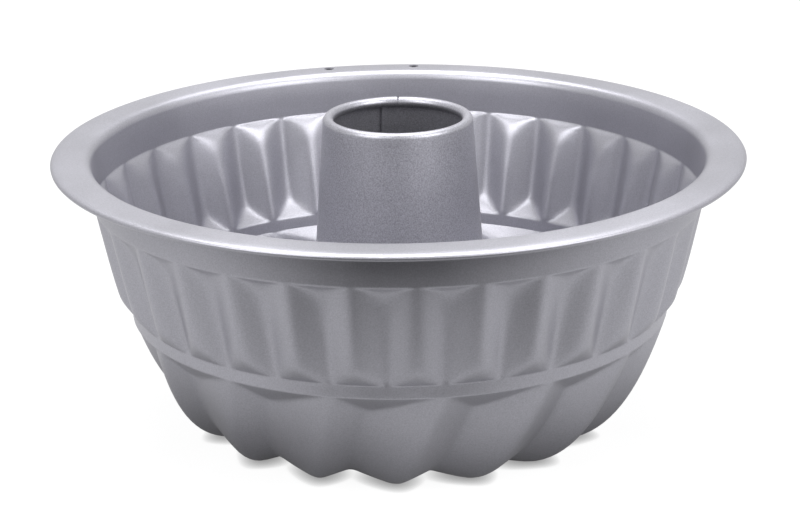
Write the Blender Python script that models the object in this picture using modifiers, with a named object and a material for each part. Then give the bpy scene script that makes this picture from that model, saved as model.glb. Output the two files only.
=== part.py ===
# Fluted tube pan: a deep-drawn fluted shell with a rolled centre tube locked into its floor.
# Metres, +Z up. The pan stands on z = 0, its axis is the Z axis and the hanging holes are at +Y.
import math
from collections import namedtuple

import bmesh
import bpy

# Sheet and joint
SHEET = 0.0006                  # thickness of the steel
CLEARANCE = 0.0003              # gap between the shell and the tube at their joint
COLUMNS = 128                   # facets round the shell, four for each flute
TUBE_COLUMNS = 48               # facets round the tube

# Rim: rolled edge, shoulder, flat flange and fold
SHELL_HEIGHT = 0.1005           # feet to the flange's upper face
WALL_RADIUS = 0.1091            # outside of the smooth band at its top
FLANGE_WIDTH = 0.0139           # from there out to the rolled edge
RIM_RADIUS = WALL_RADIUS + FLANGE_WIDTH
BEAD_RADIUS = 0.00125           # outside radius of the rolled edge
SHOULDER_WIDTH = 0.0047         # curve from the flat flange out to the rolled edge
FOLD_RADIUS = 0.003             # fold from the flange down into the wall
HOLE_RADIUS = 0.0019            # the two hanging holes
HOLE_INSET = 0.0057             # from the pan's edge in to their middles
HOLE_SPREAD = 16.7              # degrees from one to the other
HOLE_SIDES = 12

# Wall: smooth band, flutes and step band, heights measured down from the flange's upper face
BAND_TAPER = 0.03               # radius lost per height, in the smooth band and the step band
FLUTES = 32
FLUTE_SHARPNESS = 0.97          # 1 would leave knife-edged creases
FLUTE_PHASE = 3.4               # degrees from -Y to the nearest valley on the +X side
FLUTE_TOP = 0.0158              # drop to the top of the flutes
FLUTE_TAPER = 0.206             # radius lost per height along the flutes' ridges
FLUTE_DEPTH = 0.0032            # depth of the valleys at their top
SHELF_DROP = 0.0031             # drop of the slanted shelf above each valley
SHELF_SWEEP = 0.0112            # drop over which that shelf curves down into the valley
SHELF_LEADS = (0.00025, 0.0005) # drop of its rows at the ridges
RIDGE_END = 0.0487              # drop to the lower end of the ridges
RIDGE_SWEEP = 0.0090            # height over which a ridge curves in to the step band
VALLEY_END = 0.0526             # drop to the lower end of the valleys
STEP_BAND_TOP = 0.0537          # drop to the top of the plain step band
STEP_BAND_END = 0.0582          # drop to its lower edge
STEP_BAND_RADIUS = 0.0967       # outside of the step band at its top

# Lobes: swirled ribs that run from the step band under the pan to the tube
LOBES = 16
LOBE_SHARPNESS = 0.93
LOBE_DEPTH = 0.0042             # depth of the valleys between the lobes
LOBE_LENS = 0.0078              # drop of the slanted recess under the step band
LOBE_LEAD = 0.012               # where that recess starts, as a share of the lobe's profile
LOBE_SWIRL = 10.8               # degrees that a lobe turns from the step band to its foot
SWIRL_RISE = 0.84               # exponent of that turn along the lobe
INNER_SWIRL = 5.0               # degrees that it turns on from its foot to the tube
LOBE_SKEW = 0.41                # share of a lobe from its crest to the valley on its steep side
LOBE_ROWS = 4                   # rows of facets between the recess and the foot
FOOT_RADIUS = 0.0657            # circle on which the lobes touch the ground
FOOT_WIDTH = 0.0030             # flat of each foot along the lobe
FOOT_PRESS = 0.0004             # how far the crests are pressed flat at the feet
UPPER_PULL = (0.0070, 0.0232)   # in and down from the step band to the profile's first control point
LOWER_PULL = (0.0142, 0.0037)   # out and up from the foot to its second one

# Inner rise and the lip that holds the tube
RISE_OUTER = (0.0520, 0.0042)   # radius and height of the rise between foot and lip
RISE_INNER = (0.0435, 0.0095)
RISE_DEPTHS = (0.0034, 0.0015)  # depth of the lobes' valleys there
LIP_HEIGHT = 0.0120             # upper face of the flat lip
LIP_WIDTH = 0.0050              # lip beyond the tube's neck

# Centre tube
TUBE_HEIGHT = 0.1121            # feet to the crown
TUBE_RADIUS = 0.0267            # outside of the cone at its top
TUBE_TAPER = 0.071              # radius gained per height, going down
CURL_RADIUS = 0.0019            # outside radius of the curled top edge
CURL_TURN = 270.0               # degrees that the curl turns
CURL_STEPS = 6
STOP_WIDTH = 0.0040             # folded stop that rests on the lip, beyond the tube's neck
ROLL_RADIUS = 0.0016            # outside radius of the edge rolled out under the lip
ROLL_STEPS = 4
LAP_START = 174.6               # degrees from -Y towards +X where the lap seam starts
LAP_WIDTH = 0.0062              # overlap of the tube's two edges
NOTCH_WIDTH = 0.0009            # gap between the curl's two ends
NOTCH_DEPTH = 0.0016

COATING = (0.40, 0.397, 0.438, 1.0)

# A row of the shell: its place on the ridges or crests, and how the valleys differ from it
Row = namedtuple("Row", "radius height flute drop lobe normal swirl slide")


def plain_row(radius, height):
    return Row(radius, height, 0.0, 0.0, 0.0, (0.0, 0.0), 0.0, 0.0)


def bezier(points, t):
    a, b, c, d = ((1 - t) ** 3, 3 * (1 - t) ** 2 * t, 3 * (1 - t) * t * t, t ** 3)
    return tuple(a * p + b * q + c * r + d * s for p, q, r, s in zip(*points))


def bezier_normal(points, t):
    # Unit normal towards the inside of the pan
    p, q, r, s = points
    slope = [
        3 * (1 - t) ** 2 * (q[i] - p[i]) + 6 * (1 - t) * t * (r[i] - q[i]) + 3 * t * t * (s[i] - r[i])
        for i in (0, 1)
    ]
    length = math.hypot(*slope)
    return (slope[1] / length, -slope[0] / length)


def neck_radius():
    # Outside of the tube where it passes through the lip
    return TUBE_RADIUS + TUBE_TAPER * (TUBE_HEIGHT - CURL_RADIUS - LIP_HEIGHT)


# Middle of the sheet from the rolled edge to the lip, as rows round the pan

def rim_rows():
    half = SHEET / 2
    middle = BEAD_RADIUS - half
    bead = (RIM_RADIUS - BEAD_RADIUS, SHELL_HEIGHT - BEAD_RADIUS)
    rows = []
    for angle in (-150, -80, 0):
        turn = math.radians(angle)
        rows.append(plain_row(bead[0] + middle * math.cos(turn), bead[1] + middle * math.sin(turn)))
    flat_end = RIM_RADIUS - SHOULDER_WIDTH
    turn = math.radians(50)
    rows.append(plain_row(
        flat_end + (SHOULDER_WIDTH - half) * math.cos(turn),
        bead[1] + middle * math.sin(turn),
    ))
    rows.append(plain_row(flat_end, SHELL_HEIGHT - half))
    wall = WALL_RADIUS - half
    for angle in (90, 140, 180):
        turn = math.radians(angle)
        rows.append(plain_row(
            wall + FOLD_RADIUS + FOLD_RADIUS * math.cos(turn),
            SHELL_HEIGHT - half - FOLD_RADIUS + FOLD_RADIUS * math.sin(turn),
        ))
    return rows


def parabola(start, corner, end, t):
    a, b, c = ((1 - t) ** 2, 2 * t * (1 - t), t * t)
    return tuple(a * p + b * q + c * r for p, q, r in zip(start, corner, end))


def flute_rows():
    # Points here are radius and drop
    half = SHEET / 2
    top = (WALL_RADIUS - half - BAND_TAPER * FLUTE_TOP, FLUTE_TOP)
    step = (STEP_BAND_RADIUS - half, STEP_BAND_TOP)
    valley_top = (top[0] - FLUTE_DEPTH - FLUTE_TAPER * SHELF_DROP, FLUTE_TOP + SHELF_DROP)
    valley_taper = (valley_top[0] - step[0]) / (VALLEY_END - valley_top[1])

    def ridge(drop):
        return (top[0] - FLUTE_TAPER * (drop - FLUTE_TOP), drop)

    def row(outer, inner):
        return Row(outer[0], SHELL_HEIGHT - outer[1], outer[0] - inner[0], inner[1] - outer[1],
                   0.0, (0.0, 0.0), 0.0, 0.0)

    sweep_end = (valley_top[0] - valley_taper * (SHELF_SWEEP - SHELF_DROP), FLUTE_TOP + SHELF_SWEEP)
    rows = [plain_row(top[0], SHELL_HEIGHT - FLUTE_TOP)]
    for lead, t in zip(SHELF_LEADS, (0.4, 0.85)):
        rows.append(row(ridge(FLUTE_TOP + lead), parabola(top, valley_top, sweep_end, t)))
    rows.append(row(parabola(ridge(STEP_BAND_TOP - RIDGE_SWEEP), ridge(RIDGE_END), step, 0.45),
                    (step[0], VALLEY_END)))
    rows.append(plain_row(step[0], SHELL_HEIGHT - STEP_BAND_TOP))
    rows.append(plain_row(step[0] - BAND_TAPER * (STEP_BAND_END - STEP_BAND_TOP),
                          SHELL_HEIGHT - STEP_BAND_END))
    return rows


def lobe_rows(start):
    # start: radius and height of the step band's lower edge
    half = SHEET / 2
    foot = half - FOOT_PRESS
    end = (FOOT_RADIUS + FOOT_WIDTH / 2, foot)
    points = (
        start,
        (start[0] - UPPER_PULL[0], start[1] - UPPER_PULL[1]),
        (end[0] + LOWER_PULL[0], end[1] + LOWER_PULL[1]),
        end,
    )
    slide = math.radians(180.0 / COLUMNS)
    swirl = math.radians(LOBE_SWIRL)
    rows = []
    shares = [LOBE_LEAD] + [(i + 1.6) / (LOBE_ROWS + 1) for i in range(LOBE_ROWS)]
    for t in shares:
        place = bezier(points, t)
        rows.append(Row(place[0], place[1], 0.0, LOBE_LENS * (1 - t) ** 3, LOBE_DEPTH,
                        bezier_normal(points, t), swirl * t ** SWIRL_RISE, slide))
    for radius in (end[0], end[0] - FOOT_WIDTH):
        rows.append(Row(radius, foot, 0.0, 0.0, LOBE_DEPTH, (0.0, 1.0), swirl, slide))
    return rows


def floor_rows():
    half = SHEET / 2
    swirl = math.radians(LOBE_SWIRL)
    inner = math.radians(INNER_SWIRL)
    slide = math.radians(180.0 / COLUMNS)
    lip_end = neck_radius() + CLEARANCE
    lip_start = lip_end + LIP_WIDTH
    return [
        Row(*RISE_OUTER, 0.0, 0.0, RISE_DEPTHS[0], (0.0, 1.0), swirl + inner * 0.5, slide),
        Row(*RISE_INNER, 0.0, 0.0, RISE_DEPTHS[1], (0.0, 1.0), swirl + inner, slide),
        plain_row(lip_start, LIP_HEIGHT - half),
        plain_row(lip_end, LIP_HEIGHT - half),
    ]


def shell_rows():
    rows = rim_rows() + flute_rows()
    return rows + lobe_rows((rows[-1].radius, rows[-1].height)) + floor_rows()


# Waves round the pan: 1 on a ridge or crest, 0 in a valley

def rounded_zigzag(turn, sharpness):
    return 0.5 + math.asin(math.cos(turn) * sharpness) / (2 * math.asin(sharpness))


def flute_wave(angle):
    turn = FLUTES * (angle - math.radians(FLUTE_PHASE))
    return rounded_zigzag(turn + math.pi, FLUTE_SHARPNESS)


def lobe_wave(angle):
    # Crests stand under every second flute valley
    share = (angle - math.radians(FLUTE_PHASE)) * LOBES / (2 * math.pi) % 1.0
    if share < LOBE_SKEW:
        turn = math.pi * share / LOBE_SKEW
    else:
        turn = math.pi + math.pi * (share - LOBE_SKEW) / (1 - LOBE_SKEW)
    return rounded_zigzag(turn, LOBE_SHARPNESS)


def new_object(name, mesh, collection):
    thing = bpy.data.objects.new(name, mesh)
    collection.objects.link(thing)
    return thing


def turned(name, profile, steps, collection, angle=360.0, closed=False):
    # A profile in the XZ plane at +X, turned about Z and made a plain mesh
    mesh = bpy.data.meshes.new(name)
    edges = [(i, i + 1) for i in range(len(profile) - 1)]
    if closed:
        edges.append((len(profile) - 1, 0))
    mesh.from_pydata([(r, 0.0, z) for r, z in profile], edges, [])
    thing = new_object(name, mesh, collection)
    screw = thing.modifiers.new("turn", "SCREW")
    screw.axis = "Z"
    screw.angle = math.radians(angle)
    screw.steps = steps
    screw.render_steps = steps
    screw.use_merge_vertices = angle == 360.0
    screw.merge_threshold = 0.00001
    screw.use_smooth_shade = True
    bpy.context.view_layer.update()
    graph = bpy.context.evaluated_depsgraph_get()
    result = bpy.data.meshes.new_from_object(thing.evaluated_get(graph))
    thing.modifiers.clear()
    thing.data = result
    return thing


def coating(name, colour, roughness):
    material = bpy.data.materials.new(name)
    material.use_nodes = True
    shader = material.node_tree.nodes["Principled BSDF"]
    shader.inputs["Base Color"].default_value = colour
    shader.inputs["Metallic"].default_value = 0.85
    shader.inputs["Roughness"].default_value = roughness
    material.diffuse_color = colour
    return material


def thicken(thing):
    solid = thing.modifiers.new("sheet", "SOLIDIFY")
    solid.thickness = SHEET
    solid.offset = 0.0


def combine(thing, other, operation):
    step = thing.modifiers.new(other.name, "BOOLEAN")
    step.object = other
    step.operation = operation
    step.solver = "EXACT"
    other.hide_render = True
    other.display_type = "WIRE"


def around(radius, degrees, height):
    # Degrees from -Y towards +X
    turn = math.radians(degrees)
    return (radius * math.sin(turn), -radius * math.cos(turn), height)


# The shell: turned plain, then pressed into flutes and lobes

def make_shell(parts, cutters):
    rows = shell_rows()
    shell = turned("fluted_shell", [(row.radius, row.height) for row in rows], COLUMNS, parts)
    for vertex in shell.data.vertices:
        x, y, z = vertex.co
        radius = math.hypot(x, y)
        row = min(rows, key=lambda r: (r.radius - radius) ** 2 + (r.height - z) ** 2)
        angle = math.atan2(x, -y) + math.radians(FLUTE_PHASE)
        if row.lobe:
            angle += row.slide
            valley = 1 - lobe_wave(angle)
            radius += row.normal[0] * row.lobe * valley
            z += row.normal[1] * row.lobe * valley - row.drop * valley
            z = max(z, SHEET / 2)
            angle -= row.swirl
        elif row.flute:
            valley = 1 - flute_wave(angle)
            radius -= row.flute * valley
            z -= row.drop * valley
        vertex.co = (radius * math.sin(angle), -radius * math.cos(angle), z)
    thicken(shell)
    for side, name in ((-1, "hole_left"), (1, "hole_right")):
        place = around(RIM_RADIUS - HOLE_INSET, 180 - side * HOLE_SPREAD / 2, SHELL_HEIGHT)
        bpy.ops.mesh.primitive_cylinder_add(
            vertices=HOLE_SIDES, radius=HOLE_RADIUS, depth=6 * BEAD_RADIUS, location=place)
        cutter = bpy.context.object
        cutter.name = name
        bpy.context.collection.objects.unlink(cutter)
        cutters.objects.link(cutter)
        combine(shell, cutter, "DIFFERENCE")
    return shell


# The tube: middle line of its sheet from the curl's inner end to the roll under the lip

def tube_line():
    half = SHEET / 2
    line = []
    curl = CURL_RADIUS - half
    centre = (TUBE_RADIUS - CURL_RADIUS, TUBE_HEIGHT - CURL_RADIUS)
    for i in range(CURL_STEPS + 1):
        turn = math.radians(CURL_TURN * (1 - i / CURL_STEPS))
        line.append((centre[0] + curl * math.cos(turn), centre[1] + curl * math.sin(turn)))
    neck = neck_radius() - half
    line.append((neck, LIP_HEIGHT + CLEARANCE + SHEET))
    roll = ROLL_RADIUS - half
    low = LIP_HEIGHT - SHEET - CLEARANCE
    for i in range(ROLL_STEPS + 1):
        turn = math.radians(180 + 180 * i / ROLL_STEPS)
        line.append((neck + roll + roll * math.cos(turn), low + roll * math.sin(turn)))
    return line


def make_tube(parts, cutters):
    tube = turned("centre_tube", tube_line(), TUBE_COLUMNS, parts)
    thicken(tube)

    # The folded stop above the lip: the sheet doubled on itself
    neck = neck_radius()
    bottom = LIP_HEIGHT + CLEARANCE
    edge = SHEET * 0.6
    stop = [
        (neck - SHEET / 2, bottom + 2 * SHEET),
        (neck + STOP_WIDTH - edge, bottom + 2 * SHEET),
        (neck + STOP_WIDTH, bottom + SHEET),
        (neck + STOP_WIDTH - edge, bottom),
        (neck - SHEET / 2, bottom),
    ]
    ring = turned("stop_ring", stop, TUBE_COLUMNS, cutters, closed=True)
    combine(tube, ring, "UNION")

    # The lap seam: the tube's inner edge runs on behind the outer one
    high = TUBE_HEIGHT - 2 * CURL_RADIUS
    low = LIP_HEIGHT + CLEARANCE + 2 * SHEET
    outer_high = TUBE_RADIUS + TUBE_TAPER * CURL_RADIUS
    lap = [
        (outer_high - SHEET * 0.5, high),
        (neck - SHEET * 0.5, low),
        (neck - SHEET * 2, low),
        (outer_high - SHEET * 2, high),
    ]
    strip = turned("lap_strip", lap, 3, cutters, angle=math.degrees(LAP_WIDTH / TUBE_RADIUS),
                   closed=True)
    close_ends(strip.data)
    strip.rotation_euler.z = math.radians(LAP_START - 90)
    combine(tube, strip, "UNION")

    # The curl's two ends don't quite meet
    place = around(TUBE_RADIUS - CURL_RADIUS, LAP_START, TUBE_HEIGHT)
    bpy.ops.mesh.primitive_cube_add(size=1.0, location=place)
    notch = bpy.context.object
    notch.name = "curl_notch"
    notch.dimensions = (NOTCH_WIDTH, 3 * CURL_RADIUS, 2 * NOTCH_DEPTH)
    notch.rotation_euler.z = math.radians(LAP_START)
    bpy.context.collection.objects.unlink(notch)
    cutters.objects.link(notch)
    combine(tube, notch, "DIFFERENCE")
    return tube


def close_ends(mesh):
    # Caps the two open ends of a partly turned bar
    work = bmesh.new()
    work.from_mesh(mesh)
    bmesh.ops.holes_fill(work, edges=[edge for edge in work.edges if edge.is_boundary])
    bmesh.ops.recalc_face_normals(work, faces=work.faces)
    work.to_mesh(mesh)
    work.free()


def main():
    for thing in list(bpy.data.objects):
        bpy.data.objects.remove(thing, do_unlink=True)
    scene = bpy.context.scene
    parts = bpy.data.collections.new("fluted_tube_pan")
    cutters = bpy.data.collections.new("cutters")
    scene.collection.children.link(parts)
    scene.collection.children.link(cutters)

    shell = make_shell(parts, cutters)
    tube = make_tube(parts, cutters)
    for thing, name, colour, roughness in (
        (shell, "shell_coating", COATING, 0.42),
        (tube, "tube_coating", COATING, 0.5),
    ):
        thing.data.materials.clear()
        thing.data.materials.append(coating(name, colour, roughness))
        thing.data.shade_smooth()
        thing.data.set_sharp_from_angle(angle=math.radians(24))


main()
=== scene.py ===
# Fluted tube pan: the coated sheet-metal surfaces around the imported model, in metres.
import math
import bmesh
import bpy
from mathutils import Matrix, Vector


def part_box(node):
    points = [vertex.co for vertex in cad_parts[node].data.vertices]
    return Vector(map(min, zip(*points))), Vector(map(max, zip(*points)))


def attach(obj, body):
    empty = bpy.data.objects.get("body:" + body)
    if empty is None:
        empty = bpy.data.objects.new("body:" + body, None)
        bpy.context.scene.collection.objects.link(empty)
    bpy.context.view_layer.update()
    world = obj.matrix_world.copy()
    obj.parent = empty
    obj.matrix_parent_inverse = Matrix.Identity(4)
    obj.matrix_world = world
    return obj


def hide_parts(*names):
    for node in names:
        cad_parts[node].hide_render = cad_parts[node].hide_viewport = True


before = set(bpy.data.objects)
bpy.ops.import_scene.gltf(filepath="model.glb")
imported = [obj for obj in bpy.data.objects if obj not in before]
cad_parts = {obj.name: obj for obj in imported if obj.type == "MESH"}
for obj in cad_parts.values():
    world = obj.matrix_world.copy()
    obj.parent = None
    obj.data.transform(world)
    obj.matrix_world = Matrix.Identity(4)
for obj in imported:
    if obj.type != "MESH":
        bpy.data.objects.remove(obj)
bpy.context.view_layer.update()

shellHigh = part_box("fluted_shell")[1]
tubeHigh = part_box("centre_tube")[1]


# Camera

view = {
    "focalPixels": 2425.0,       # focal length in pixels of the photograph
    "width": 800,
    "sensor": 36.0,
    "pitch": 18.6,               # degrees looking down
    "roll": -0.69,
    "turn": -5.15,               # degrees round the pan from -Y, towards +X
    "distance": 0.877,
    "aside": 0.00014,            # aim, beside the axis
    "below": 0.0434,             # aim, below the flange's upper face
}


def makeCamera():
    pitch = math.radians(view["pitch"])
    roll = math.radians(view["roll"])
    ahead = Vector((0, math.cos(pitch), -math.sin(pitch)))
    side = Vector((1, 0, 0))
    up = side.cross(ahead)
    rolledSide = math.cos(roll) * side + math.sin(roll) * up
    rolledUp = -math.sin(roll) * side + math.cos(roll) * up
    aim = Vector((view["aside"], 0, shellHigh.z - view["below"]))
    place = Matrix((rolledSide, rolledUp, -ahead)).transposed().to_4x4()
    place.translation = aim - view["distance"] * ahead
    lens = bpy.data.cameras.new("photoLens")
    lens.sensor_width = view["sensor"]
    lens.lens = view["focalPixels"] * view["sensor"] / view["width"]
    lens.clip_start = 0.01
    camera = bpy.data.objects.new("photoCamera", lens)
    bpy.context.scene.collection.objects.link(camera)
    camera.matrix_world = Matrix.Rotation(math.radians(view["turn"]), 4, "Z") @ place
    bpy.context.scene.camera = camera
    print("camera ready")


# Studio: white floor, pale room, soft panels

studio = {
    "floorSize": 6.0,
    "floorColour": (0.30, 0.30, 0.30),
    "floorGlow": 0.94,           # added for the camera, so that the floor is white
    "floorShare": 0.4,           # how much of the floor's lit colour the camera sees beside that
    "paintedShadowReach": 0.0038,      # how far out the painted contact shadow darkens the floor where the pan is close to it
    "paintedShadowTone": 0.30,         # what the painted contact shadow leaves of the floor's white right under the pan
    "paintedShadowSamples": 16,
    "toneTurns": (0.0, 15.0, 40.0, 70.0),  # degrees round from the front, one for each tone below
    "roomColour": (0.80, 0.80, 0.80),
}

# Painted tones that the floor shows only in reflections: distance from the axis, then the tone at each of
# toneTurns. Black under the pan and dimmer near its foot as painted shade, and darker in front than at the
# sides
paintedReflectionTones = [
    (0.055, 0.00, 0.00, 0.00, 0.00),
    (0.090, 0.47, 0.45, 0.35, 0.30),
    (0.125, 0.95, 0.90, 0.85, 0.75),
    (0.160, 0.38, 0.40, 1.00, 1.00),
    (0.200, 0.36, 0.34, 0.80, 1.00),
    (0.290, 0.00, 0.00, 0.40, 1.00),
    (0.600, 0.00, 0.00, 0.00, 0.80),
]


def nodeTree(owner):
    owner.use_nodes = True
    tree = owner.node_tree
    tree.nodes.clear()
    return tree


def addNode(tree, kind, label="", **settings):
    node = tree.nodes.new(kind)
    node.label = label
    for name, value in settings.items():
        setattr(node, name, value)
    return node


def calc(tree, operation, *values):
    node = addNode(tree, "ShaderNodeMath", operation=operation)
    for value, socket in zip(values, node.inputs):
        if hasattr(value, "is_linked"):
            tree.links.new(value, socket)
        else:
            socket.default_value = value
    return node.outputs[0]


def ramp(tree, value, stops):
    # Straight lines from one (place, level) to the next
    total = stops[0][1]
    for (start, low), (end, high) in zip(stops, stops[1:]):
        piece = addNode(tree, "ShaderNodeMapRange")
        piece.inputs["From Min"].default_value = start
        piece.inputs["From Max"].default_value = end
        piece.inputs["To Max"].default_value = high - low
        tree.links.new(value, piece.inputs["Value"])
        total = calc(tree, "ADD", piece.outputs[0], total)
    return total


def paintedReflectionTone(tree):
    # Painted tone of the floor in reflections, by its place round the pan, with painted shade under and
    # near the pan
    place = addNode(tree, "ShaderNodeTexCoord")
    parts = addNode(tree, "ShaderNodeSeparateXYZ")
    tree.links.new(place.outputs["Object"], parts.inputs[0])
    x, y = parts.outputs[:2]
    squares = calc(tree, "MULTIPLY_ADD", x, x, calc(tree, "MULTIPLY", y, y))
    radius = calc(tree, "SQRT", squares)
    away = calc(tree, "ARCTAN2", calc(tree, "ABSOLUTE", x), calc(tree, "MULTIPLY", y, -1.0))
    turns = [math.radians(turn) for turn in studio["toneTurns"]]
    tone = ramp(tree, radius, [(row[0], row[1]) for row in paintedReflectionTones])
    for i, (start, end) in enumerate(zip(turns, turns[1:])):
        nextTone = ramp(tree, radius, [(row[0], row[i + 2]) for row in paintedReflectionTones])
        share = ramp(tree, away, [(start, 0.0), (end, 1.0)])
        tone = calc(tree, "MULTIPLY_ADD", calc(tree, "SUBTRACT", nextTone, tone), share, tone)
    return tone


def makeFloor():
    half = studio["floorSize"] / 2
    mesh = bpy.data.meshes.new("studioFloor")
    corners = [(-half, -half, 0), (half, -half, 0), (half, half, 0), (-half, half, 0)]
    mesh.from_pydata(corners, [], [(0, 1, 2, 3)])
    floor = bpy.data.objects.new("studioFloor", mesh)
    bpy.context.scene.collection.objects.link(floor)
    paint = bpy.data.materials.new("floorPaint")
    tree = nodeTree(paint)
    path = addNode(tree, "ShaderNodeLightPath")
    mirrored = path.outputs["Is Glossy Ray"]
    direct = path.outputs["Is Camera Ray"]

    # Lit colour: whole for the light that bounces off the floor, part for the camera, none in reflections
    share = calc(tree, "MULTIPLY_ADD", direct, studio["floorShare"] - 1.0, 1.0)
    share = calc(tree, "MULTIPLY", share, calc(tree, "SUBTRACT", 1.0, mirrored))
    tint = addNode(tree, "ShaderNodeVectorMath", operation="SCALE")
    tint.inputs[0].default_value = studio["floorColour"]
    tree.links.new(share, tint.inputs["Scale"])
    diffuse = addNode(tree, "ShaderNodeBsdfDiffuse")
    tree.links.new(tint.outputs[0], diffuse.inputs["Color"])

    # White glow for the camera, darkened close to the pan as a painted contact shadow, and the painted
    # tones above in reflections
    close = addNode(tree, "ShaderNodeAmbientOcclusion", "paintedShadow", samples=studio["paintedShadowSamples"])
    close.inputs["Distance"].default_value = studio["paintedShadowReach"]
    paintedShadow = ramp(tree, close.outputs["AO"], [(0.0, studio["paintedShadowTone"]), (1.0, 1.0)])
    white = calc(tree, "MULTIPLY", calc(tree, "MULTIPLY", direct, studio["floorGlow"]), paintedShadow)
    glow = addNode(tree, "ShaderNodeEmission")
    tree.links.new(calc(tree, "MULTIPLY_ADD", mirrored, paintedReflectionTone(tree), white), glow.inputs["Strength"])
    both = addNode(tree, "ShaderNodeAddShader")
    tree.links.new(diffuse.outputs[0], both.inputs[0])
    tree.links.new(glow.outputs[0], both.inputs[1])
    out = addNode(tree, "ShaderNodeOutputMaterial")
    tree.links.new(both.outputs[0], out.inputs["Surface"])
    mesh.materials.append(paint)


def makeSurround():
    # The room is seen by the camera and in reflections, and gives no other light
    world = bpy.data.worlds.new("studioSurround")
    bpy.context.scene.world = world
    tree = nodeTree(world)
    path = addNode(tree, "ShaderNodeLightPath")
    seen = calc(tree, "MAXIMUM", path.outputs["Is Camera Ray"], path.outputs["Is Glossy Ray"])
    glow = addNode(tree, "ShaderNodeBackground")
    glow.inputs["Color"].default_value = (*studio["roomColour"], 1.0)
    tree.links.new(seen, glow.inputs["Strength"])
    out = addNode(tree, "ShaderNodeOutputWorld")
    tree.links.new(glow.outputs[0], out.inputs["Surface"])


# Square panels: name, degrees round from the front towards +X, degrees up, watts, side length
lamps = [
    ("leftPanel", -50.0, 35.0, 7.6, 0.7),
    ("rightPanel", 50.0, 35.0, 7.4, 0.7),
    ("rightFill", 30.0, 20.0, 2.2, 0.7),
    ("topPanel", 180.0, 79.0, 23.0, 1.15),
]
lampAway = 1.3               # from the middle of the pan


def makeLamps():
    middle = Vector((0, 0, shellHigh.z / 2))
    for name, degrees, up, watts, size in lamps:
        light = bpy.data.lights.new(name, "AREA")
        light.shape = "SQUARE"
        light.size = size
        light.energy = watts
        lamp = bpy.data.objects.new(name, light)
        bpy.context.scene.collection.objects.link(lamp)
        turn, lift = math.radians(degrees), math.radians(up)
        level = math.cos(lift)
        towards = Vector((level * math.sin(turn), -level * math.cos(turn), math.sin(lift)))
        lamp.location = middle + lampAway * towards
        lamp.rotation_euler = towards.to_track_quat("Z", "Y").to_euler()


# Coating: metallic paint baked on steel, with a fine grain

coating = {
    "colour": (0.40, 0.397, 0.438),
    "metal": 0.75,               # share of metal flakes against binder
    "roughness": 0.40,
    "roughnessDown": 0.05,       # how far clouds bring it down, and up
    "roughnessUp": 0.06,
    "grainSize": 0.00045,        # flakes in the coating
    "grainDetail": 1.5,
    "shellGrain": 0.126,         # how far flakes differ in brightness
    "tubeGrain": 0.28,
    "peelSize": 0.0011,          # orange peel of the sprayed film
    "peelDetail": 2.0,
    "shellPeel": 0.000012,
    "tubePeel": 0.0000192,
    "cloudSize": 0.045,          # slow changes in the film
    "cloudDetail": 3.0,
    "cloudTone": 0.05,
    "flakeRange": 0.25,          # how far each noise goes from its middle
    "cloudRange": 0.20,
}


def noise(tree, label, place, size, detail):
    pattern = addNode(tree, "ShaderNodeTexNoise", label)
    pattern.inputs["Scale"].default_value = 1 / size
    pattern.inputs["Detail"].default_value = detail
    tree.links.new(place.outputs["Object"], pattern.inputs["Vector"])
    return pattern.outputs["Fac"]


def stretch(tree, pattern, reach, low, high):
    # The noise from reach below its middle to reach above it, drawn out from low to high
    node = addNode(tree, "ShaderNodeMapRange")
    node.inputs["From Min"].default_value = 0.5 - reach
    node.inputs["From Max"].default_value = 0.5 + reach
    node.inputs["To Min"].default_value = low
    node.inputs["To Max"].default_value = high
    tree.links.new(pattern, node.inputs["Value"])
    return node.outputs[0]


def coatingMaterial(name, grainTone, peelHeight):
    paint = bpy.data.materials.new(name)
    tree = nodeTree(paint)
    link = tree.links.new
    place = addNode(tree, "ShaderNodeTexCoord")
    flakes = noise(tree, "flakes", place, coating["grainSize"], coating["grainDetail"])
    clouds = noise(tree, "slow clouds", place, coating["cloudSize"], coating["cloudDetail"])
    peel = noise(tree, "orange peel", place, coating["peelSize"], coating["peelDetail"])

    # Brightness of the film: flakes over clouds
    flakeTone = stretch(tree, flakes, coating["flakeRange"], 1 - grainTone, 1 + grainTone)
    cloudTone = stretch(tree, clouds, coating["cloudRange"],
                        1 - coating["cloudTone"], 1 + coating["cloudTone"])
    tinted = addNode(tree, "ShaderNodeVectorMath", operation="SCALE")
    tinted.inputs[0].default_value = coating["colour"]
    link(calc(tree, "MULTIPLY", flakeTone, cloudTone), tinted.inputs["Scale"])

    smoothest = coating["roughness"] - coating["roughnessDown"]
    roughest = coating["roughness"] + coating["roughnessUp"]
    rough = stretch(tree, clouds, coating["cloudRange"], smoothest, roughest)
    bump = addNode(tree, "ShaderNodeBump")
    bump.inputs["Strength"].default_value = 1.0
    bump.inputs["Distance"].default_value = peelHeight
    link(peel, bump.inputs["Height"])

    shader = addNode(tree, "ShaderNodeBsdfPrincipled")
    shader.inputs["Metallic"].default_value = coating["metal"]
    link(tinted.outputs[0], shader.inputs["Base Color"])
    link(rough, shader.inputs["Roughness"])
    link(bump.outputs[0], shader.inputs["Normal"])
    out = addNode(tree, "ShaderNodeOutputMaterial")
    link(shader.outputs[0], out.inputs["Surface"])
    return paint


# Shell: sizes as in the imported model, drops measured down from the flange's upper face

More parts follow.
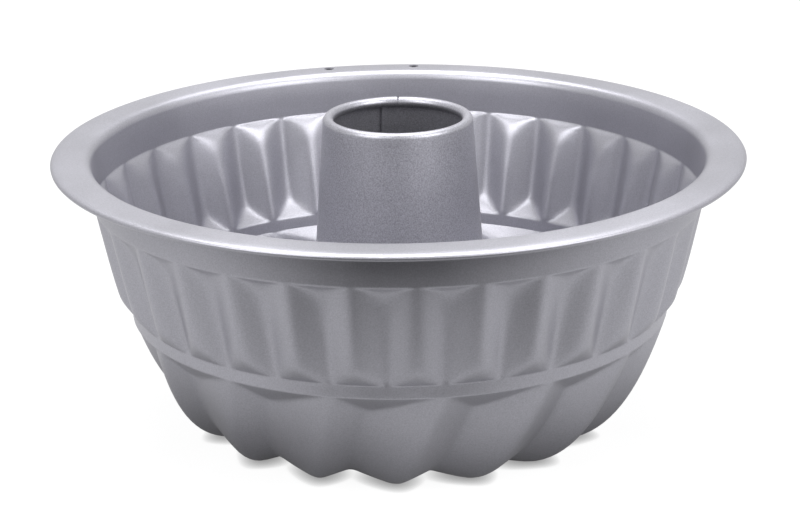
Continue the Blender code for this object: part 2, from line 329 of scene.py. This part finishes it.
shell = {
    "sheet": 0.0006,
    "rimRadius": shellHigh.x - 0.00003,
    "beadRadius": 0.00125,       # rolled edge, outer size
    "shoulderWidth": 0.0047,     # curve from the flat flange out to the bead
    "foldRadius": 0.003,         # from the flange down to the wall
    "holeRadius": 0.0019,
    "holeCircle": 0.1173,        # radius at which they lie
    "holeSpread": 16.7,          # degrees from one hole to the other
    "holeSides": 40,
    "punchLength": 0.006,
    "wallRadius": 0.1091,        # smooth band, carried up to the flange
    "bandTaper": 0.03,           # radius lost for each unit of drop
    "flutes": 32,
    "flutePhase": 3.4,           # degrees from -Y to the nearest valley
    "fluteRounding": 0.25,       # share of a facet that is curved towards each of its creases
    "fluteTop": 0.0158,
    "fluteTaper": 0.206,         # of the ridges
    "fluteDepth": 0.0032,        # at the top
    "shelfDrop": 0.0031,         # from the smooth band down to the valleys, without the sweep
    "upperSweep": 0.0112,        # how far down the shelf over a valley sweeps
    "lowerSweep": 0.0090,        # how far up the shelf under a ridge does
    "shelfEase": 0.12,           # how fast a shelf's line leaves the wall past its sweep
    "shelfSoftness": 0.0021,     # radius of the creases round the shelves
    "softenOver": 0.0025,        # height over which it fades towards the plain bands
    "ridgeEnd": 0.0487,          # where the ridges would end without the sweep
    "valleyEnd": 0.0526,         # where the valleys are as narrow as the step band
    "stepBandTop": 0.0537,
    "stepBandEnd": 0.0582,
    "stepBandRadius": 0.0967,
    "lobes": 16,
    "lobeRounding": 0.18,
    "lobeDepth": 0.0042,
    "lobeLens": 0.0078,          # drop of the slanted recess under the step band
    "recessSoftness": 0.0006,    # radius of its creases
    "lobeSwirl": 10.8,           # degrees from the step band to the foot
    "swirlRise": 0.84,           # below 1 it turns more near the band
    "innerSwirl": 5.0,           # and on from there to the tube
    "innerSwirlEnd": 0.8,        # share of the inner rise where it ends
    "lobeSkew": 0.41,            # share of a lobe from its crest to the valley on its steep side
    "footRadius": 0.0657,        # middle of the feet
    "footWidth": 0.0030,
    "footPress": 0.0004,         # how far the crests are pressed flat
    "footLift": 0.00002,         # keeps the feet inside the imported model's box
    "upperPull": (0.0070, 0.0232),  # control points of the lobe's profile, from its two ends
    "lowerPull": (0.0142, 0.0037),
    "risePull": (0.0085, 0.0002),   # and of the inner rise, from the foot and from the lip
    "lipPull": (0.0075, 0.0030),
    "riseFade": 1.2,             # power by which the lobes' depth fades up the inner rise
    "riseFadeShare": 0.95,       # and the share of it that fades so, the rest evenly
    "lipHeight": 0.0120,
    "lipWidth": 0.0050,
    # Rows of the mesh: degrees round the bead, the shoulder and the fold
    "beadTurns": (-175, -145, -115, -85, -55, -27, 0),
    "shoulderTurns": (18, 36, 54, 72),
    "foldTurns": (90, 112, 135, 158, 180),
    # Then a drop or a share of the profile, and how many rows lead up to it
    "wallRows": ((0.0090, 0), (0.0142, 1), (0.0152, 1), (0.0192, 8), (0.0272, 4), (0.0310, 1), (0.0355, 1),
                 (0.0400, 1), (0.0470, 4), (0.0542, 12), (0.0560, 1), (0.0579, 1)),
    "lobeRows": ((0.0, 0), (0.008, 1), (0.14, 10), (1.0, 15)),
    "riseRows": 12,
    "columnsPerFlute": 16,
    "columnBunching": 0.6,       # crowds the columns at the creases
}
outOfReach = 1.0                 # a radius and a depth that the wall never gets to
creaseAngle = 50.0               # edges sharper than this are shaded as creases


def neckRadius():
    # Outer radius of the tube where the shell's lip meets it
    return tube["radius"] + tube["taper"] * (tubeHigh.z - tube["curlRadius"] - shell["lipHeight"])


def spread(start, end, steps):
    # Even steps from start to end, without the start itself
    return [start + (end - start) * (i + 1) / steps for i in range(steps)]


def rowPlaces(stops):
    # From each stop to the next in its own number of rows
    places = [stops[0][0]]
    for (start, _), (end, rows) in zip(stops, stops[1:]):
        places += spread(start, end, rows)
    return places


def bezierPoint(points, t):
    weights = ((1 - t) ** 3, 3 * (1 - t) ** 2 * t, 3 * (1 - t) * t * t, t ** 3)
    return tuple(sum(w * p[i] for w, p in zip(weights, points)) for i in (0, 1))


def bezierNormal(points, t):
    # Unit normal towards the inside of the pan
    p, q, r, s = points
    slope = [
        3 * (1 - t) ** 2 * (q[i] - p[i]) + 6 * (1 - t) * t * (r[i] - q[i]) + 3 * t * t * (s[i] - r[i])
        for i in (0, 1)
    ]
    length = math.hypot(*slope)
    return (slope[1] / length, -slope[0] / length)


# What each row of the turned sheet is pressed to: radius of the valleys, radii of the shelves above
# and below, softness of their creases, depth of the lobes and of the recess, the profile's normal,
# and how far the row is swirled and skewed
rowNames = ("inner", "top", "bottom", "soften", "lobeDepth", "lobeShelf", "normalR", "normalZ",
            "swirl", "skewed")


def ringRow(radius, height, **press):
    # One row round the pan, left plain but for what press says
    row = dict.fromkeys(rowNames, 0.0)
    row.update(radius=radius, height=height, inner=radius)
    row.update(top=-outOfReach, bottom=outOfReach, lobeShelf=outOfReach)
    row.update(press)
    return row


def rimProfile():
    half = shell["sheet"] / 2
    middle = shell["beadRadius"] - half
    top = shellHigh.z
    beadR = shell["rimRadius"] - shell["beadRadius"]
    beadZ = top - shell["beadRadius"]
    rows = []
    for angle in shell["beadTurns"]:
        turn = math.radians(angle)
        rows.append(ringRow(beadR + middle * math.cos(turn), beadZ + middle * math.sin(turn)))
    flatEnd = shell["rimRadius"] - shell["shoulderWidth"]
    for angle in shell["shoulderTurns"]:
        turn = math.radians(angle)
        rows.append(ringRow(
            flatEnd + (shell["shoulderWidth"] - half) * math.cos(turn), beadZ + middle * math.sin(turn)))
    rows.append(ringRow(flatEnd, top - half))
    wall = shell["wallRadius"] - half
    fold = shell["foldRadius"]
    rows.append(ringRow((flatEnd + wall + fold) / 2, top - half))
    for angle in shell["foldTurns"]:
        turn = math.radians(angle)
        rows.append(ringRow(wall + fold + fold * math.cos(turn), top - half - fold + fold * math.sin(turn)))
    return rows


def curveRadius(points, drop):
    # Radius at a drop, on a parabola from the first point to the last, tangent to the middle one's lines
    (r0, d0), (r1, d1), (r2, d2) = points
    a = d0 - 2 * d1 + d2
    b = 2 * (d1 - d0)
    t = (-b + math.sqrt(b * b - 4 * a * (d0 - drop))) / (2 * a)
    return (1 - t) ** 2 * r0 + 2 * t * (1 - t) * r1 + t * t * r2


def fluteProfile():
    half = shell["sheet"] / 2
    start = shell["fluteTop"]
    top = shell["wallRadius"] - half - shell["bandTaper"] * start
    step = shell["stepBandRadius"] - half
    valleyTop = top - shell["fluteDepth"] - shell["fluteTaper"] * shell["shelfDrop"]
    valleySlope = (valleyTop - step) / (shell["valleyEnd"] - start - shell["shelfDrop"])

    def ridgeLine(drop):
        return top - shell["fluteTaper"] * (drop - start)

    def valleyLine(drop):
        return valleyTop - valleySlope * (drop - start - shell["shelfDrop"])

    upperEnd = start + shell["upperSweep"]
    upperShelf = ((top, start), (valleyTop, start + shell["shelfDrop"]), (valleyLine(upperEnd), upperEnd))
    bandTop = shell["stepBandTop"]
    lowerEnd = bandTop - shell["lowerSweep"]
    lowerShelf = ((ridgeLine(lowerEnd), lowerEnd), (ridgeLine(shell["ridgeEnd"]), shell["ridgeEnd"]),
                  (step, bandTop))
    rows = []
    for drop in rowPlaces(shell["wallRows"]):
        smooth = shell["wallRadius"] - half - shell["bandTaper"] * drop
        band = step - shell["bandTaper"] * (drop - bandTop)
        skewed = (drop - bandTop) / (shell["stepBandEnd"] - bandTop)
        if drop <= start:
            rows.append(ringRow(smooth, shellHigh.z - drop))
        elif drop >= bandTop:
            rows.append(ringRow(band, shellHigh.z - drop, skewed=min(1.0, skewed)))
        else:
            upper = valleyLine(drop) - shell["shelfEase"] * (drop - upperEnd)
            if drop < upperEnd:
                upper = curveRadius(upperShelf, drop)
            lower = ridgeLine(drop) + shell["shelfEase"] * (lowerEnd - drop)
            if drop > lowerEnd:
                lower = curveRadius(lowerShelf, drop)
            soften = min(1.0, min(drop - start, bandTop - drop) / shell["softenOver"])
            rows.append(ringRow(ridgeLine(drop), shellHigh.z - drop, inner=max(valleyLine(drop), step),
                                top=upper, bottom=lower, soften=soften))
    return rows


def lobeProfile():
    half = shell["sheet"] / 2
    bandHeight = shell["stepBandEnd"] - shell["stepBandTop"]
    startR = shell["stepBandRadius"] - half - shell["bandTaper"] * bandHeight
    start = (startR, shellHigh.z - shell["stepBandEnd"])
    foot = half - shell["footPress"]
    end = (shell["footRadius"] + shell["footWidth"] / 2, foot)
    points = (
        start,
        (start[0] - shell["upperPull"][0], start[1] - shell["upperPull"][1]),
        (end[0] + shell["lowerPull"][0], end[1] + shell["lowerPull"][1]),
        end,
    )
    swirl = math.radians(shell["lobeSwirl"])
    rows = []
    for t in rowPlaces(shell["lobeRows"]):
        place = bezierPoint(points, t)
        normal = bezierNormal(points, t)
        fall = start[1] - place[1]
        rows.append(ringRow(
            *place, lobeDepth=shell["lobeDepth"],
            lobeShelf=shell["lobeDepth"] * fall / shell["lobeLens"],
            normalR=normal[0], normalZ=normal[1], swirl=swirl * t ** shell["swirlRise"], skewed=1.0))

    # Foot, inner rise and lip
    inner = (end[0] - shell["footWidth"], foot)
    lipEnd = neckRadius() + tube["clearance"]
    lipStart = lipEnd + shell["lipWidth"]
    lipZ = shell["lipHeight"] - half
    curve = (
        inner,
        (inner[0] - shell["risePull"][0], inner[1] + shell["risePull"][1]),
        (lipStart + shell["lipPull"][0], lipZ - shell["lipPull"][1]),
        (lipStart, lipZ),
    )
    for t in spread(0.0, 1.0, shell["riseRows"]):
        place = bezierPoint(curve, t)
        normal = bezierNormal(curve, t)
        share = shell["riseFadeShare"]
        fade = share * (1 - t) ** shell["riseFade"] + (1 - share) * (1 - t)
        innerTurn = math.radians(shell["innerSwirl"]) * min(1.0, t / shell["innerSwirlEnd"])
        rows.append(ringRow(
            *place, lobeDepth=shell["lobeDepth"] * fade, normalR=normal[0], normalZ=normal[1],
            swirl=swirl + innerTurn, skewed=1.0))
    for radius in spread(lipStart, lipEnd, 2):
        rows.append(ringRow(radius, lipZ))
    return rows


def turnedBase():
    # The plain turned sheet, with what each row is pressed to kept as attributes for the tree
    rows = rimProfile() + fluteProfile() + lobeProfile()
    perFlute = shell["columnsPerFlute"]
    columns = perFlute * shell["flutes"]
    bunching = shell["columnBunching"] / (4 * math.pi)
    angles = []
    for i in range(columns):
        share = i / perFlute
        share -= bunching * math.sin(4 * math.pi * share)
        angles.append(math.radians(shell["flutePhase"]) + share * 2 * math.pi / shell["flutes"])
    vertices = []
    for row in rows:
        radius = row["radius"]
        for angle in angles:
            vertices.append((radius * math.sin(angle), -radius * math.cos(angle), row["height"]))
    faces = []
    for r in range(len(rows) - 1):
        for c in range(columns):
            d = (c + 1) % columns
            faces.append((r * columns + c, (r + 1) * columns + c, (r + 1) * columns + d, r * columns + d))
    mesh = bpy.data.meshes.new("turnedSheet")
    mesh.from_pydata(vertices, [], faces)
    for name in rowNames:
        values = mesh.attributes.new(name, "FLOAT", "POINT")
        values.data.foreach_set("value", [row[name] for row in rows for _ in angles])
    print("turned sheet:", len(rows), "rows of", columns)
    return mesh


# Geometry Nodes tree that presses the turned sheet into flutes and swirled lobes

def pressTree():
    tree = bpy.data.node_groups.new("pressFlutesAndLobes", "GeometryNodeTree")
    sockets = tree.interface
    sockets.new_socket("Geometry", in_out="INPUT", socket_type="NodeSocketGeometry")
    for name in ("Flutes", "Lobes"):
        sockets.new_socket(name, in_out="INPUT", socket_type="NodeSocketInt").min_value = 3
    for name in ("Phase", "Flute Rounding", "Lobe Rounding", "Lobe Skew", "Shelf Softness",
                 "Recess Softness", "Lowest Height"):
        sockets.new_socket(name, in_out="INPUT", socket_type="NodeSocketFloat")
    sockets.new_socket("Material", in_out="INPUT", socket_type="NodeSocketMaterial")
    sockets.new_socket("Geometry", in_out="OUTPUT", socket_type="NodeSocketGeometry")
    given = tree.nodes.new("NodeGroupInput")
    result = tree.nodes.new("NodeGroupOutput")
    link = tree.links.new

    def do(operation, *values):
        return calc(tree, operation, *values)

    def rowValue(name):
        node = tree.nodes.new("GeometryNodeInputNamedAttribute")
        node.data_type = "FLOAT"
        node.inputs["Name"].default_value = name
        return node.outputs["Attribute"]

    def zigzag(turns, rounding):
        # 1 at whole turns and 0 half way, straight in between and parabolic towards the creases
        rise = do("ABSOLUTE", do("MULTIPLY_ADD", do("FRACT", turns), 2.0, -1.0))
        low = do("MAXIMUM", do("SUBTRACT", rounding, rise), 0.0)
        high = do("MAXIMUM", do("SUBTRACT", rounding, do("SUBTRACT", 1.0, rise)), 0.0)
        bend = do("SUBTRACT", do("MULTIPLY", low, low), do("MULTIPLY", high, high))
        bend = do("DIVIDE", bend, do("MULTIPLY", rounding, 2.0))
        wave = do("SUBTRACT", do("ADD", rise, bend), do("MULTIPLY", rounding, 0.5))
        return do("DIVIDE", wave, do("SUBTRACT", 1.0, rounding))

    where = tree.nodes.new("GeometryNodeInputPosition")
    parts = tree.nodes.new("ShaderNodeSeparateXYZ")
    link(where.outputs[0], parts.inputs[0])
    x, y, z = parts.outputs
    radius = do("SQRT", do("MULTIPLY_ADD", x, x, do("MULTIPLY", y, y)))
    angle = do("ARCTAN2", x, do("MULTIPLY", y, -1.0))
    fromPhase = do("SUBTRACT", angle, given.outputs["Phase"])

    # Flutes: a zigzag between the ridges and the valleys, cut by a shelf above and below
    turns = do("MULTIPLY", fromPhase, do("DIVIDE", given.outputs["Flutes"], 2 * math.pi))
    ridge = zigzag(do("ADD", turns, 0.5), given.outputs["Flute Rounding"])
    inner = rowValue("inner")
    fluted = do("MULTIPLY_ADD", do("SUBTRACT", radius, inner), ridge, inner)
    soft = do("MULTIPLY", given.outputs["Shelf Softness"], rowValue("soften"))
    fluted = do("SMOOTH_MAX", fluted, rowValue("top"), soft)
    fluted = do("SMOOTH_MIN", fluted, rowValue("bottom"), soft)

    # Lobes: pressed along the profile's normal, below a slanted recess
    turns = do("MULTIPLY", fromPhase, do("DIVIDE", given.outputs["Lobes"], 2 * math.pi))
    share = do("FRACT", turns)
    crest = zigzag(share, given.outputs["Lobe Rounding"])
    depth = do("MULTIPLY", rowValue("lobeDepth"), do("SUBTRACT", 1.0, crest))
    recess = rowValue("lobeShelf")
    depth = do("SMOOTH_MIN", depth, recess, do("MINIMUM", given.outputs["Recess Softness"], recess))
    depth = do("MULTIPLY", depth, do("GREATER_THAN", rowValue("lobeDepth"), 0.0))
    pressedR = do("MULTIPLY_ADD", rowValue("normalR"), depth, fluted)
    pressedZ = do("MULTIPLY_ADD", rowValue("normalZ"), depth, z)
    pressedZ = do("MAXIMUM", pressedZ, given.outputs["Lowest Height"])

    # Skew and swirl turn the points round the axis
    fold = do("SUBTRACT", 1.0, do("ABSOLUTE", do("MULTIPLY_ADD", share, 2.0, -1.0)))
    skew = do("MULTIPLY", do("SUBTRACT", given.outputs["Lobe Skew"], 0.5), fold)
    skew = do("MULTIPLY", skew, do("DIVIDE", 2 * math.pi, given.outputs["Lobes"]))
    turned = do("MULTIPLY_ADD", skew, rowValue("skewed"), angle)
    turned = do("SUBTRACT", turned, rowValue("swirl"))

    placed = tree.nodes.new("ShaderNodeCombineXYZ")
    link(do("MULTIPLY", pressedR, do("SINE", turned)), placed.inputs[0])
    link(do("MULTIPLY", do("MULTIPLY", pressedR, do("COSINE", turned)), -1.0), placed.inputs[1])
    link(pressedZ, placed.inputs[2])
    press = tree.nodes.new("GeometryNodeSetPosition")
    link(given.outputs["Geometry"], press.inputs["Geometry"])
    link(placed.outputs[0], press.inputs["Position"])
    smooth = tree.nodes.new("GeometryNodeSetShadeSmooth")
    link(press.outputs[0], smooth.inputs["Geometry"])
    real = tree.nodes.new("GeometryNodeRealizeInstances")
    link(smooth.outputs[0], real.inputs[0])
    finish = tree.nodes.new("GeometryNodeSetMaterial")
    link(real.outputs[0], finish.inputs["Geometry"])
    link(given.outputs["Material"], finish.inputs["Material"])
    link(finish.outputs[0], result.inputs[0])
    return tree


def treeInputs(modifier, values):
    for item in modifier.node_group.interface.items_tree:
        if item.in_out == "INPUT" and item.name in values:
            modifier[item.identifier] = values[item.name]


def plainMesh(thing):
    bpy.context.view_layer.update()
    graph = bpy.context.evaluated_depsgraph_get()
    mesh = bpy.data.meshes.new_from_object(thing.evaluated_get(graph))
    thing.modifiers.clear()
    thing.data = mesh
    return mesh


def newPiece(name, mesh):
    piece = bpy.data.objects.new(name, mesh)
    bpy.context.scene.collection.objects.link(piece)
    return piece


def thicken(piece):
    wall = piece.modifiers.new("sheet", "SOLIDIFY")
    wall.thickness = shell["sheet"]
    wall.offset = 0.0


def coat(mesh, material):
    mesh.materials.clear()
    mesh.materials.append(material)
    mesh.shade_smooth()
    mesh.set_sharp_from_angle(angle=math.radians(creaseAngle))


def countTriangles(mesh):
    return sum(len(face.vertices) - 2 for face in mesh.polygons)


def punchHoles(piece):
    # The two hanging holes, each side of the back
    punches = []
    for side in (-1, 1):
        turn = math.radians(180 - side * shell["holeSpread"] / 2)
        place = (shell["holeCircle"] * math.sin(turn), -shell["holeCircle"] * math.cos(turn), shellHigh.z)
        work = bmesh.new()
        bmesh.ops.create_cone(work, cap_ends=True, segments=shell["holeSides"], radius1=shell["holeRadius"],
                              radius2=shell["holeRadius"], depth=shell["punchLength"])
        bmesh.ops.translate(work, verts=work.verts, vec=place)
        mesh = bpy.data.meshes.new("punch")
        work.to_mesh(mesh)
        work.free()
        punch = newPiece("punch", mesh)
        cut = piece.modifiers.new("hangingHole", "BOOLEAN")
        cut.object = punch
        cut.operation = "DIFFERENCE"
        cut.solver = "EXACT"
        punches.append(punch)
    mesh = plainMesh(piece)
    for punch in punches:
        bpy.data.objects.remove(punch)
    return mesh


def makeShell(material):
    piece = newPiece("pressedShell", turnedBase())
    nodes = piece.modifiers.new("press", "NODES")
    nodes.node_group = pressTree()
    treeInputs(nodes, {
        "Flutes": shell["flutes"],
        "Lobes": shell["lobes"],
        "Phase": math.radians(shell["flutePhase"]),
        "Flute Rounding": shell["fluteRounding"],
        "Lobe Rounding": shell["lobeRounding"],
        "Lobe Skew": shell["lobeSkew"],
        "Shelf Softness": shell["shelfSoftness"],
        "Recess Softness": shell["recessSoftness"],
        "Lowest Height": shell["sheet"] / 2 + shell["footLift"],
        "Material": material,
    })
    plainMesh(piece)
    thicken(piece)
    mesh = punchHoles(piece)
    for name in rowNames:
        if name in mesh.attributes:
            mesh.attributes.remove(mesh.attributes[name])
    coat(mesh, material)
    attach(piece, "root")
    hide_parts("fluted_shell")
    print("shell:", countTriangles(mesh), "triangles")


# Tube: a cone rolled from a strip, its two edges lapped at the back

tube = {
    "radius": 0.0267,            # at the curl
    "taper": 0.071,              # radius gained for each unit of drop
    "curlRadius": 0.0019,
    "curlTurn": 270.0,           # degrees that the top edge is turned in
    "curlRows": 18,
    "coneRows": ((0.0, 0), (0.02, 1), (0.06, 1), (1.0, 14)),  # shares of the cone, with their rows
    "clearance": 0.0003,         # between the tube and the shell's lip
    "stopWidth": 0.0040,         # folded stop on the lip
    "stopFillet": 0.0012,        # from the cone out to the stop
    "stopRows": 6,
    "foldTightness": 1.05,       # 1 would leave no gap inside the stop's fold
    "rollRadius": 0.0016,        # edge rolled out under the lip
    "rollLead": 0.0002,
    "rollRows": 10,
    "lapStart": 174.6,           # degrees from -Y towards +X
    "lapWidth": 0.0062,
    "lapGap": 0.00012,
    "lapBlend": 9.0,             # degrees over which the lapped edges ease in and out
    "lapColumns": 6,
    "lapShort": 2,               # rows of the cone's foot that the lap stops short of
    "curlOffset": 0.35,          # share of the lap's step that the curl keeps
    "slit": 0.00012,             # between the strip's ends at the sides of the curl
    "notchWidth": 0.0009,        # and on top of it, where the corners are cut
    "columns": 176,
}


def tubeProfile():
    half = shell["sheet"] / 2
    curl = tube["curlRadius"] - half
    centreR = tube["radius"] - tube["curlRadius"]
    centreZ = tubeHigh.z - tube["curlRadius"]
    line = []
    gaps = []
    for i in range(tube["curlRows"] + 1):
        turn = math.radians(tube["curlTurn"] * (1 - i / tube["curlRows"]))
        line.append((centreR + curl * math.cos(turn), centreZ + curl * math.sin(turn)))
        gaps.append(tube["slit"] + (tube["notchWidth"] - tube["slit"]) * max(0.0, math.sin(turn)) ** 2)
    curlEnd = len(line)

    # Cone
    neck = neckRadius() - half
    bend = half * tube["foldTightness"]
    stopZ = shell["lipHeight"] + tube["clearance"] + half + 2 * bend
    fillet = tube["stopFillet"]
    start = line[-1]
    run = neck - start[0]
    fall = stopZ + fillet - start[1]
    for share in rowPlaces(tube["coneRows"])[1:]:
        line.append((start[0] + run * share, start[1] + fall * share))
    coneEnd = len(line)

    # Folded stop on the lip
    out = neck + tube["stopWidth"] - shell["sheet"]
    line.append((neck + fillet / 3, stopZ + fillet / 3))
    line.append((neck + fillet, stopZ))
    for i in range(tube["stopRows"] + 1):
        turn = math.radians(90 - 180 * i / tube["stopRows"])
        line.append((out + bend * math.cos(turn), stopZ - bend + bend * math.sin(turn)))
    line.append((neck + tube["rollLead"], stopZ - 2 * bend))

    # Roll under the lip
    roll = tube["rollRadius"] - half
    low = shell["lipHeight"] - shell["sheet"] - tube["clearance"]
    for i in range(tube["rollRows"] + 1):
        turn = math.radians(180 + 180 * i / tube["rollRows"])
        line.append((neck + roll + roll * math.cos(turn), low + roll * math.sin(turn)))
    gaps += [tube["slit"]] * (len(line) - len(gaps))
    return line, gaps, curlEnd, coneEnd


def rolledStrip():
    # The strip from its outer edge round the tube to its inner edge, one row for each point of the profile
    line, gaps, curlEnd, coneEnd = tubeProfile()
    half = shell["sheet"] / 2
    lap = math.degrees(tube["lapWidth"] / tube["radius"])
    columns = tube["columns"]
    start = tube["lapStart"]
    end = start + 360.0 + lap

    def stripAngles(gap):
        slit = math.degrees(gap / tube["radius"])
        ring = [start + slit / 2 + (360.0 - slit) * i / columns for i in range(columns + 1)]
        return ring + spread(ring[-1], end, tube["lapColumns"])

    def shift(angle):
        # Outer edge lies half a sheet out, inner edge half a sheet in, over the lap and a short blend
        fromOuter = max(0.0, min(1.0, (angle - start - lap) / tube["lapBlend"]))
        fromInner = max(0.0, min(1.0, (end - lap - angle) / tube["lapBlend"]))
        easeOuter = 1 - fromOuter * fromOuter * (3 - 2 * fromOuter)
        easeInner = 1 - fromInner * fromInner * (3 - 2 * fromInner)
        return (half + tube["lapGap"]) * (easeOuter - easeInner)

    # The curl keeps part of the lap's step, and the cone's foot and the stop none of it
    lapTop = curlEnd - 1
    lapFoot = coneEnd - 1 - tube["lapShort"]
    vertices = []
    for k, (radius, height) in enumerate(line):
        step = 1.0
        if k > lapFoot:
            step = 0.0
        elif k < lapTop:
            step = tube["curlOffset"]
        for angle in stripAngles(gaps[k]):
            turn = math.radians(angle)
            r = radius + shift(angle) * step
            vertices.append((r * math.sin(turn), -r * math.cos(turn), height))
    wide = columns + 1 + tube["lapColumns"]
    faces = []
    for k in range(len(line) - 1):
        last = wide - 1 if lapTop <= k < lapFoot else columns
        for c in range(last):
            here = k * wide + c
            faces.append((here, here + wide, here + wide + 1, here + 1))
    mesh = bpy.data.meshes.new("rolledTube")
    mesh.from_pydata(vertices, [], faces)
    work = bmesh.new()
    work.from_mesh(mesh)
    loose = [v for v in work.verts if not v.link_faces]
    bmesh.ops.delete(work, geom=loose, context="VERTS")
    work.to_mesh(mesh)
    work.free()
    print("rolled strip:", len(line), "rows of", columns)
    return mesh


def makeTube(material):
    piece = newPiece("rolledTube", rolledStrip())
    thicken(piece)
    mesh = plainMesh(piece)
    coat(mesh, material)
    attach(piece, "root")
    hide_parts("centre_tube")
    print("tube:", countTriangles(mesh), "triangles")


makeCamera()
makeFloor()
makeSurround()
makeLamps()
bpy.context.scene.view_settings.view_transform = "Standard"
print("studio ready")
makeShell(coatingMaterial("shellCoating", coating["shellGrain"], coating["shellPeel"]))
makeTube(coatingMaterial("tubeCoating", coating["tubeGrain"], coating["tubePeel"]))
